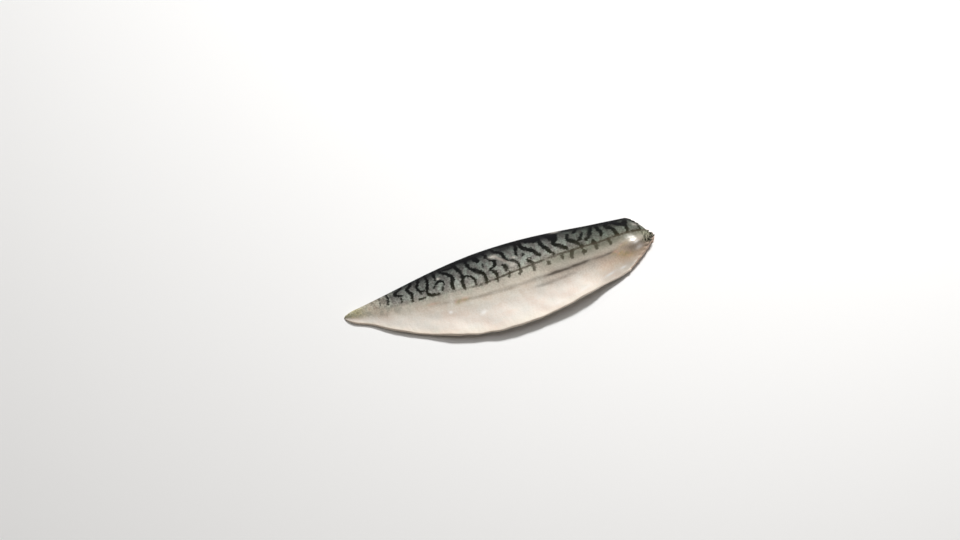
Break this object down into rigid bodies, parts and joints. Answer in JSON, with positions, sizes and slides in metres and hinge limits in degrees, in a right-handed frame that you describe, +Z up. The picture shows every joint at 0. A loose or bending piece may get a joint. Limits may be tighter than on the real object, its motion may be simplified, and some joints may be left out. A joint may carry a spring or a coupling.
{
  "type": "skin-on mackerel fillet",
  "caption": "Raw skin-on mackerel fillet lying skin side up: a long tapering leaf with a thick back, a thin lifted belly flap and a blunt cut behind the head.",
  "frame": {"origin": "middle of the fillet's box, on the surface that its cut side lies on", "axes": "+X along the fillet towards the head end, +Y towards the back edge, +Z up, out of the skin"},
  "size_m": [0.2442, 0.0714, 0.0173],
  "materials": {
    "fish": "wet fish skin, dark wavy bars on grey-green along the back and silvery white on the belly, over pale pink flesh"
  },
  "bodies": {
    "root": {"fillet": "fish"}
  },
  "joints": []
}
